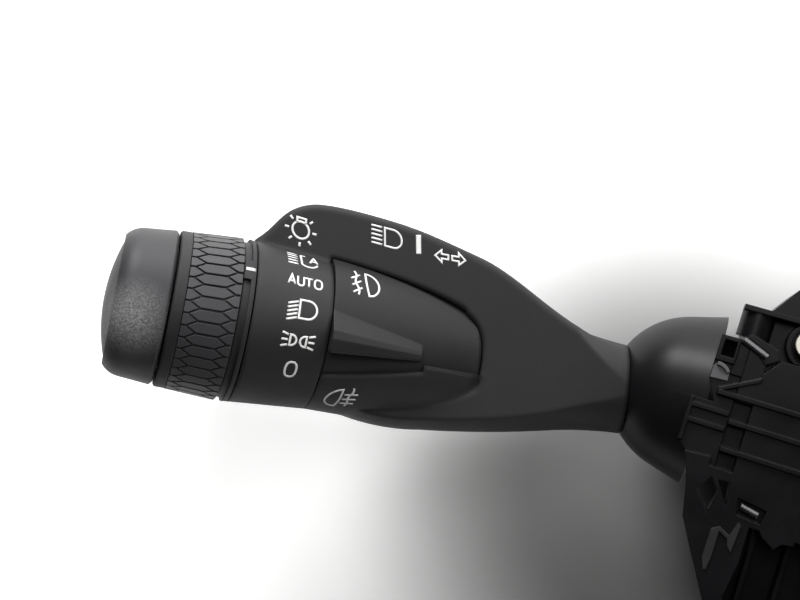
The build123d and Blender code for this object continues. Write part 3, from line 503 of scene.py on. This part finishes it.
def beams(near, far, rows, pitch, drop=0.0, middle=0.0):
    """Parallel light beams from x near to x far, whose far ends hang by drop."""
    heights = [middle + (row - (rows - 1) / 2) * pitch for row in range(rows)]
    return [line((near, y), (far, y - drop)) for y in heights]


def wave(x, top, bottom, swing, steps=24):
    """The wavy line of mist that crosses the beams of a fog lamp."""
    return [
        (x + swing * math.sin(3 * math.pi * step / steps), top + (bottom - top) * step / steps)
        for step in range(steps + 1)
    ], False


def lamp_strokes():
    """Light bulb with its socket on top and seven rays."""
    rays = [math.radians(angle) for angle in (0, 45, 135, 180, 225, 270, 315)]
    return [ring((0, 0), 1.78, 1.72), line((-0.9, 1.5), (-0.9, 2.45), (0.95, 2.45), (0.95, 1.5))] + [
        line((2.5 * math.cos(t), 2.5 * math.sin(t)), (3.4 * math.cos(t), 3.4 * math.sin(t))) for t in rays
    ]


def arrow_strokes():
    """Two outlined arrows that point apart."""
    outline = [(0.4, 0.45), (1.8, 0.45), (1.8, 1.2), (3.15, 0), (1.8, -1.2), (1.8, -0.45), (0.4, -0.45)]
    return [([(side * x, y) for x, y in outline], True) for side in (-1, 1)]


def auto_high_strokes():
    """High beam whose lamp holds a small letter A at its nose."""
    under = ring((1.2, -0.8), 1.85, 1.65)[0]  # its lower half is the lamp's underside
    curve = [point for point in under[18:] if point[1] < -0.75 and point[0] > -0.1]
    return beams(-1.0, -3.1, 5, 1.07) + [
        line((0.75, 2.25), (-0.25, 2.1), (-0.25, -1.8), *curve),
        line((1.5, -0.7), (2.5, 2.1), (3.1, -0.55)),
        line((1.75, 0.15), (2.9, 0.15)),
    ]


def auto_strokes():
    """The four letters of AUTO."""
    turns = [math.pi * step / 12 for step in range(13)]
    cup = [(-0.94 - 0.62 * math.cos(t), -0.5 - 0.64 * math.sin(t)) for t in turns]
    return [
        line((-3.47, -1.15), (-2.77, 1.12), (-2.07, -1.15)),
        line((-3.2, -0.42), (-2.34, -0.42)),
        line((-1.56, 1.15), *cup, (-0.32, 1.15)),
        line((-0.08, 1.0), (1.5, 1.0)),
        line((0.71, 1.0), (0.71, -1.15)),
        ring((2.62, 0), 0.76, 1.12, 0.8),
    ]


def position_strokes():
    """Position lamps: two small lamps nose to nose with rays behind them."""
    strokes = []
    for side in (-1, 1):
        strokes.append(bowl(1.6 * side, 0.38 * side, 1.02))
        for tilt in (-1, 0, 1):
            strokes.append(line((2.0 * side, 0.98 * tilt), (3.3 * side, 1.36 * tilt)))
    return strokes


def front_fog_strokes():
    """Front fog lamp: a tall lamp, three beams that fall away and a wavy line."""
    return [bowl(0.5, 2.9, 2.95, 0.3, 0.2)] + beams(-0.75, -2.85, 3, 1.75, 1.4, 0.85) + [
        wave(-1.75, 3.6, -2.7, 0.26)
    ]


def rear_fog_strokes():
    """Rear fog lamp: a tall lamp, three level beams and a wavy line."""
    return [bowl(-0.55, -3.15, 2.8, -0.45, 0.2)] + beams(0.15, 2.85, 3, 1.45, 0.0, -0.62) + [
        wave(1.4, 2.7, -3.1, 0.22)
    ]


# ---------------------------------------------------------------- laying a legend on its surface
def drawn(strokes, width, lean, slope):
    """Flat ribbons along the strokes; lean tips the drawing sideways and slope tilts its lines."""
    deselect()
    bpy.ops.curve.primitive_bezier_curve_add(location=(0, 0, 0))
    piece = bpy.context.object
    outline = piece.data
    outline.splines.clear()
    outline.dimensions = "2D"
    outline.fill_mode = "NONE"
    for points, closed in strokes:
        spline = outline.splines.new("POLY")
        spline.points.add(len(points) - 1)
        spline.use_cyclic_u = closed
        for place, (x, y) in zip(spline.points, points):
            place.co = ((x + lean * y) * MM, (y + slope * x) * MM, 0, 1)
    deselect()
    bpy.ops.curve.primitive_bezier_curve_add(location=(0, 0, 0))
    nib = bpy.context.object
    nib.data.splines.clear()
    edge = nib.data.splines.new("POLY")
    edge.points.add(1)
    edge.points[0].co = (-width / 2, 0, 0, 1)
    edge.points[1].co = (width / 2, 0, 0, 1)
    outline.bevel_mode = "OBJECT"
    outline.bevel_object = nib
    deselect()
    piece.select_set(True)
    bpy.context.view_layer.objects.active = piece
    bpy.ops.object.convert(target="MESH")
    bpy.data.objects.remove(nib)
    bpy.ops.object.mode_set(mode="EDIT")
    bpy.ops.mesh.select_all(action="SELECT")
    bpy.ops.mesh.remove_doubles(threshold=0.000002)
    bpy.ops.mesh.subdivide(number_cuts=3)
    bpy.ops.object.mode_set(mode="OBJECT")
    return bpy.context.object


def printed(name, strokes, target, body, place, across, outward, weight=1.0, lean=0.0, slope=0.0):
    """Draws a legend, projects it on a CAD node along outward and gives it a thin coat of paint."""
    sizes = bpy.context.scene.stalk_sizes
    piece = drawn(strokes, sizes.legend_stroke * weight, lean, slope)
    across = (across - outward * across.dot(outward)).normalized()
    turn = Matrix((across, outward.cross(across), outward)).transposed().to_4x4()
    piece.matrix_world = Matrix.Translation(place) @ turn
    apply_modifier(
        piece, "SHRINKWRAP", target=nodes[target], wrap_method="PROJECT", use_project_z=True,
        use_negative_direction=True, use_positive_direction=True, project_limit=0.004,
    )
    apply_modifier(piece, "SOLIDIFY", thickness=2 * sizes.legend_lift, offset=0.0)
    colour = bpy.context.scene.stalk_colours.legend
    white = moulded("Legend white", colour, 0.45, grain=1500.0, bump=0.02, drift=0.04)
    return settle(piece, name, white, body)


def on_collar(s, angle, radius=collar_radius, facing_angle=None):
    """Place, reading direction and outward direction of a legend round the knob axis.

    The outward direction is that of facing_angle where it is given, and of angle otherwise.
    """
    outward = spoke(angle if facing_angle is None else facing_angle)
    return round_knob(s, angle, radius), -knob_dir, outward


def on_wing(u, h):
    """Place, reading direction and outward direction of a legend on the flat front face."""
    return on_face(u, h), -body_dir, body_up


# ---------------------------------------------------------------- operators
class STALK_OT_finishes(bpy.types.Operator):
    """Gives every carried-over node its finish"""

    bl_idname = "stalk.finishes"
    bl_label = "Finishes"

    def execute(self, context):
        colours = context.scene.stalk_colours
        crease = context.scene.stalk_sizes.crease_round
        fine = {"grain": 5200.0, "bump": 0.10}
        skin = moulded("Stalk skin", colours.shell, 0.55, drift=0.10, edge=crease, **fine)
        dress(["stalk_shell", "stalk_rear_shell"], skin)
        dress(["ring_carrier"], moulded("Stalk satin", colours.shell, 0.55, drift=0.10, edge=0.0005, **fine))
        # the fog knob's darker colour is painted shade
        dress(["fog_knob"], moulded("Rocker satin", colours.rocker, 0.52, edge=0.0005, shine=0.3, **fine))
        cap = moulded("Cap satin", colours.cap, 0.45, grain=5000.0, bump=0.2, edge=0.0004)
        # painted highlight on the end cap
        paint_highlight(cap, highlight_spot, highlight_reach, colours.cap_highlight)
        dress(["end_cap", "end_button"], cap)
        bell = moulded("Bell smooth", colours.bell, 0.34, grain=2500.0, bump=0.02, drift=0.08, shine=0.17)
        dress(["dust_bell"], bell)
        dress(["ring_tread"], moulded("Soft tread", colours.tread, 0.4, grain=6000.0, bump=0.03, drift=0.08))
        dark = moulded(
            "Housing plastic", colours.housing, 0.3,
            grain=1800.0, bump=0.03, drift=0.2, edge=0.0003, shine=0.17,
        )
        dress(["switch_housing", "housing_deck", "rear_cover", "connector_shroud"], dark)
        core = moulded("Filled core", (0.03, 0.03, 0.03), 0.5, grain=2200.0, bump=0.06)
        dress(["knob_spindle", "lever_core", "carrier_yoke"], core)
        natural = moulded("Natural acetal", (0.72, 0.71, 0.66), 0.35, grain=1500.0, bump=0.02, drift=0.05)
        dress(["detent_cam", "carrier_bushes", "detent_plunger", "button_dome"], natural)
        cream = moulded("Cream bush", (0.72, 0.69, 0.60), 0.25, bump=0.02, drift=0.05, coat=0.3)
        dress(["post_bush"], cream)
        dress(["stop_pad"], moulded("Pale pad", (0.10, 0.10, 0.105), 0.4, bump=0.03, drift=0.1))
        steel = moulded("Ground steel", (0.55, 0.55, 0.56), 0.28, grain=4000.0, metallic=1.0)
        dress(["flash_pin", "detent_ball", "plunger_spring", "turn_magnet"], steel)
        dress(["cover_screws", "shell_screws"], steel)
        rod = moulded("Bright rod", (0.13, 0.13, 0.135), 0.32, bump=0.02, metallic=1.0)
        dress(["metal_rods"], rod)
        sheet = (0.02, 0.02, 0.021)
        clip = moulded("Clip sheet", sheet, 0.45, grain=2600.0, bump=0.06, drift=0.2, metallic=0.3)
        dress(["retaining_clip"], clip)
        board = moulded("Board lacquer", (0.02, 0.09, 0.04), 0.3, coat=0.3)
        dress(["circuit_board", "stalk_board"], board)
        dress(["sensor_chips"], moulded("Chip resin", (0.015, 0.015, 0.015), 0.6))
        dress(["connector_pins"], moulded("Tinned contact", (0.75, 0.72, 0.66), 0.25, metallic=1.0))
        return {"FINISHED"}


class STALK_OT_legends(bpy.types.Operator):
    """Prints the lighting legends on the wing, the collar and the fog knob"""

    bl_idname = "stalk.legends"
    bl_label = "Legends"

    def execute(self, context):
        shell = ("stalk_shell", "stalk")
        turned = (-0.19, -0.085)
        printed("legend_lamp", lamp_strokes(), *shell, *on_wing(21.67, 20.58), 1.1, -0.1, -0.12)
        high = [bowl(-0.3, 3.3, 1.82)] + beams(-0.85, -3.2, 5, 0.87)
        printed("legend_high_beam", high, *shell, *on_wing(4.04, 22.29), 0.95, *turned)
        bar = [line(*((0, 1.95 - 0.65 * step) for step in range(7)))]
        printed("legend_bar", bar, *shell, *on_wing(-2.77, 21.96), 2.5, *turned)
        printed("legend_turn", arrow_strokes(), *shell, *on_wing(-9.67, 20.42), 0.9, -0.2, 0)
        printed("legend_auto_high", auto_high_strokes(), *shell, *on_collar(7.1, -62.7))
        printed("legend_auto", auto_strokes(), *shell, *on_collar(6.65, -37.9), 0.95)
        low = [bowl(-0.68, 2.8, 1.85, 0.17)] + beams(-1.0, -3.1, 5, 0.8, 0.7)
        printed("legend_low_beam", low, *shell, *on_collar(6.65, -15.7))
        printed("legend_position", position_strokes(), *shell, *on_collar(6.63, 5.9))
        off = [ring((0, 0), 1.1, 1.65, 0.8)]
        printed("legend_off", off, *shell, *on_collar(6.79, 27.2), 1.1)
        front = on_collar(-5.71, -45.8, 16.23, facing_angle=-41.6)
        printed("legend_front_fog", front_fog_strokes(), "fog_knob", "fog_rocker", *front, 1.0, -0.12)
        rear = on_collar(-5.17, 46.0, 15.88, facing_angle=50.5)
        printed("legend_rear_fog", rear_fog_strokes(), *shell, *rear, 1.0, 0.08, 0.24)
        tick = [line((-1.25, 0), (1.25, 0))]
        printed("ring_index", tick, "ring_carrier", "light_ring", *on_collar(17.9, -38, 17.0), 1.8)
        return {"FINISHED"}


class STALK_OT_backing(bpy.types.Operator):
    """Models the dark tray that closes the small window of the housing's nose frame, a sheet of painted
    shade
    """

    bl_idname = "stalk.backing"
    bl_label = "Nose window shade tray"

    def execute(self, context):
        low, high = tray_corners
        centre = [(a + b) / 2 * MM for a, b in zip(low, high)]
        deselect()
        bpy.ops.mesh.primitive_cube_add(size=1, location=centre)
        tray = context.object
        tray.scale = [(b - a) * MM for a, b in zip(low, high)]
        bpy.ops.object.transform_apply(location=False, rotation=False, scale=True)
        bpy.ops.object.mode_set(mode="EDIT")
        bpy.ops.mesh.select_all(action="DESELECT")
        bpy.ops.object.mode_set(mode="OBJECT")
        for face in tray.data.polygons:
            face.select = face.normal.z > 0.9
        bpy.ops.object.mode_set(mode="EDIT")
        bpy.ops.mesh.inset(thickness=tray_rim, depth=0)
        bpy.ops.mesh.extrude_region_move(TRANSFORM_OT_translate={"value": (0, 0, -tray_rim)})
        bpy.ops.mesh.inset(thickness=tray_rim / 2, depth=0)
        bpy.ops.object.mode_set(mode="OBJECT")
        apply_modifier(tray, "BEVEL", width=0.00006, segments=2)
        # near-black painted shade for the inside of the window
        window_shade = (0.0015, 0.0015, 0.0016)
        dark = moulded("Painted window shade", window_shade, 0.7, grain=1800.0, drift=0.2, edge=0.0001, shine=0.02)
        settle(tray, "nose_window_shade_tray", dark, "base")
        return {"FINISHED"}


class STALK_OT_stage(bpy.types.Operator):
    """Sets the table, the soft light and the camera"""

    bl_idname = "stalk.stage"
    bl_label = "Stage"

    def execute(self, context):
        colours = context.scene.stalk_colours
        deselect()
        bpy.ops.mesh.primitive_plane_add(size=table_width, location=(0, 0, cad_box[0][2] - table_drop))
        table = context.object
        table.name = "table_top"
        table.data.materials.append(table_finish(colours.table))
        for name, place, size, power in LAMPS:
            bpy.ops.object.light_add(type="AREA", location=place)
            lamp = context.object
            lamp.name = name
            lamp.data.shape = "RECTANGLE"
            lamp.data.size, lamp.data.size_y = size
            lamp.data.energy = power
            lamp.visible_camera = False
            aim = aim_point - Vector(place)
            lamp.rotation_euler = aim.to_track_quat("-Z", "Y").to_euler()
        world = bpy.data.worlds.new("Soft room")
        world.use_nodes = True
        background = world.node_tree.nodes["Background"]
        background.inputs["Color"].default_value = (1, 1, 1, 1)
        background.inputs["Strength"].default_value = room_strength
        context.scene.world = world
        eye = bpy.data.cameras.new("Viewpoint")
        camera = bpy.data.objects.new("Viewpoint", eye)
        context.scene.collection.objects.link(camera)
        eye.sensor_width = 36
        eye.lens = 43.2
        eye.clip_start = 0.01
        turn = Matrix((eye_right, eye_up, eye_right.cross(eye_up))).transposed().to_4x4()
        camera.matrix_world = Matrix.Translation(eye_point * MM) @ turn
        context.scene.camera = camera
        context.scene.view_settings.view_transform = "Standard"
        return {"FINISHED"}


class STALK_PT_panel(bpy.types.Panel):
    """Sidebar panel of the stalk switch"""

    bl_idname = "STALK_PT_panel"
    bl_label = "Stalk switch"
    bl_space_type = "VIEW_3D"
    bl_region_type = "UI"
    bl_category = "Stalk switch"

    def draw(self, context):
        for settings in (context.scene.stalk_sizes, context.scene.stalk_colours):
            for key in settings.bl_rna.properties.keys():
                if key not in {"name", "rna_type"}:
                    self.layout.prop(settings, key)
        for operator in OPERATORS:
            self.layout.operator(operator.bl_idname)


OPERATORS = (STALK_OT_finishes, STALK_OT_legends, STALK_OT_backing, STALK_OT_stage)
CLASSES = (StalkSizes, StalkColours) + OPERATORS + (STALK_PT_panel,)


def register():
    """Adds the settings, operators and panel to Blender."""
    for item in CLASSES:
        bpy.utils.register_class(item)
    bpy.types.Scene.stalk_sizes = bpy.props.PointerProperty(type=StalkSizes)
    bpy.types.Scene.stalk_colours = bpy.props.PointerProperty(type=StalkColours)


def unregister():
    """Removes the settings, operators and panel from Blender."""
    del bpy.types.Scene.stalk_colours
    del bpy.types.Scene.stalk_sizes
    for item in reversed(CLASSES):
        bpy.utils.unregister_class(item)


def main():
    """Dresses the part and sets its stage."""
    register()
    for operator in OPERATORS:
        group, name = operator.bl_idname.split(".")
        getattr(getattr(bpy.ops, group), name)()


if __name__ == "__main__":
    main()
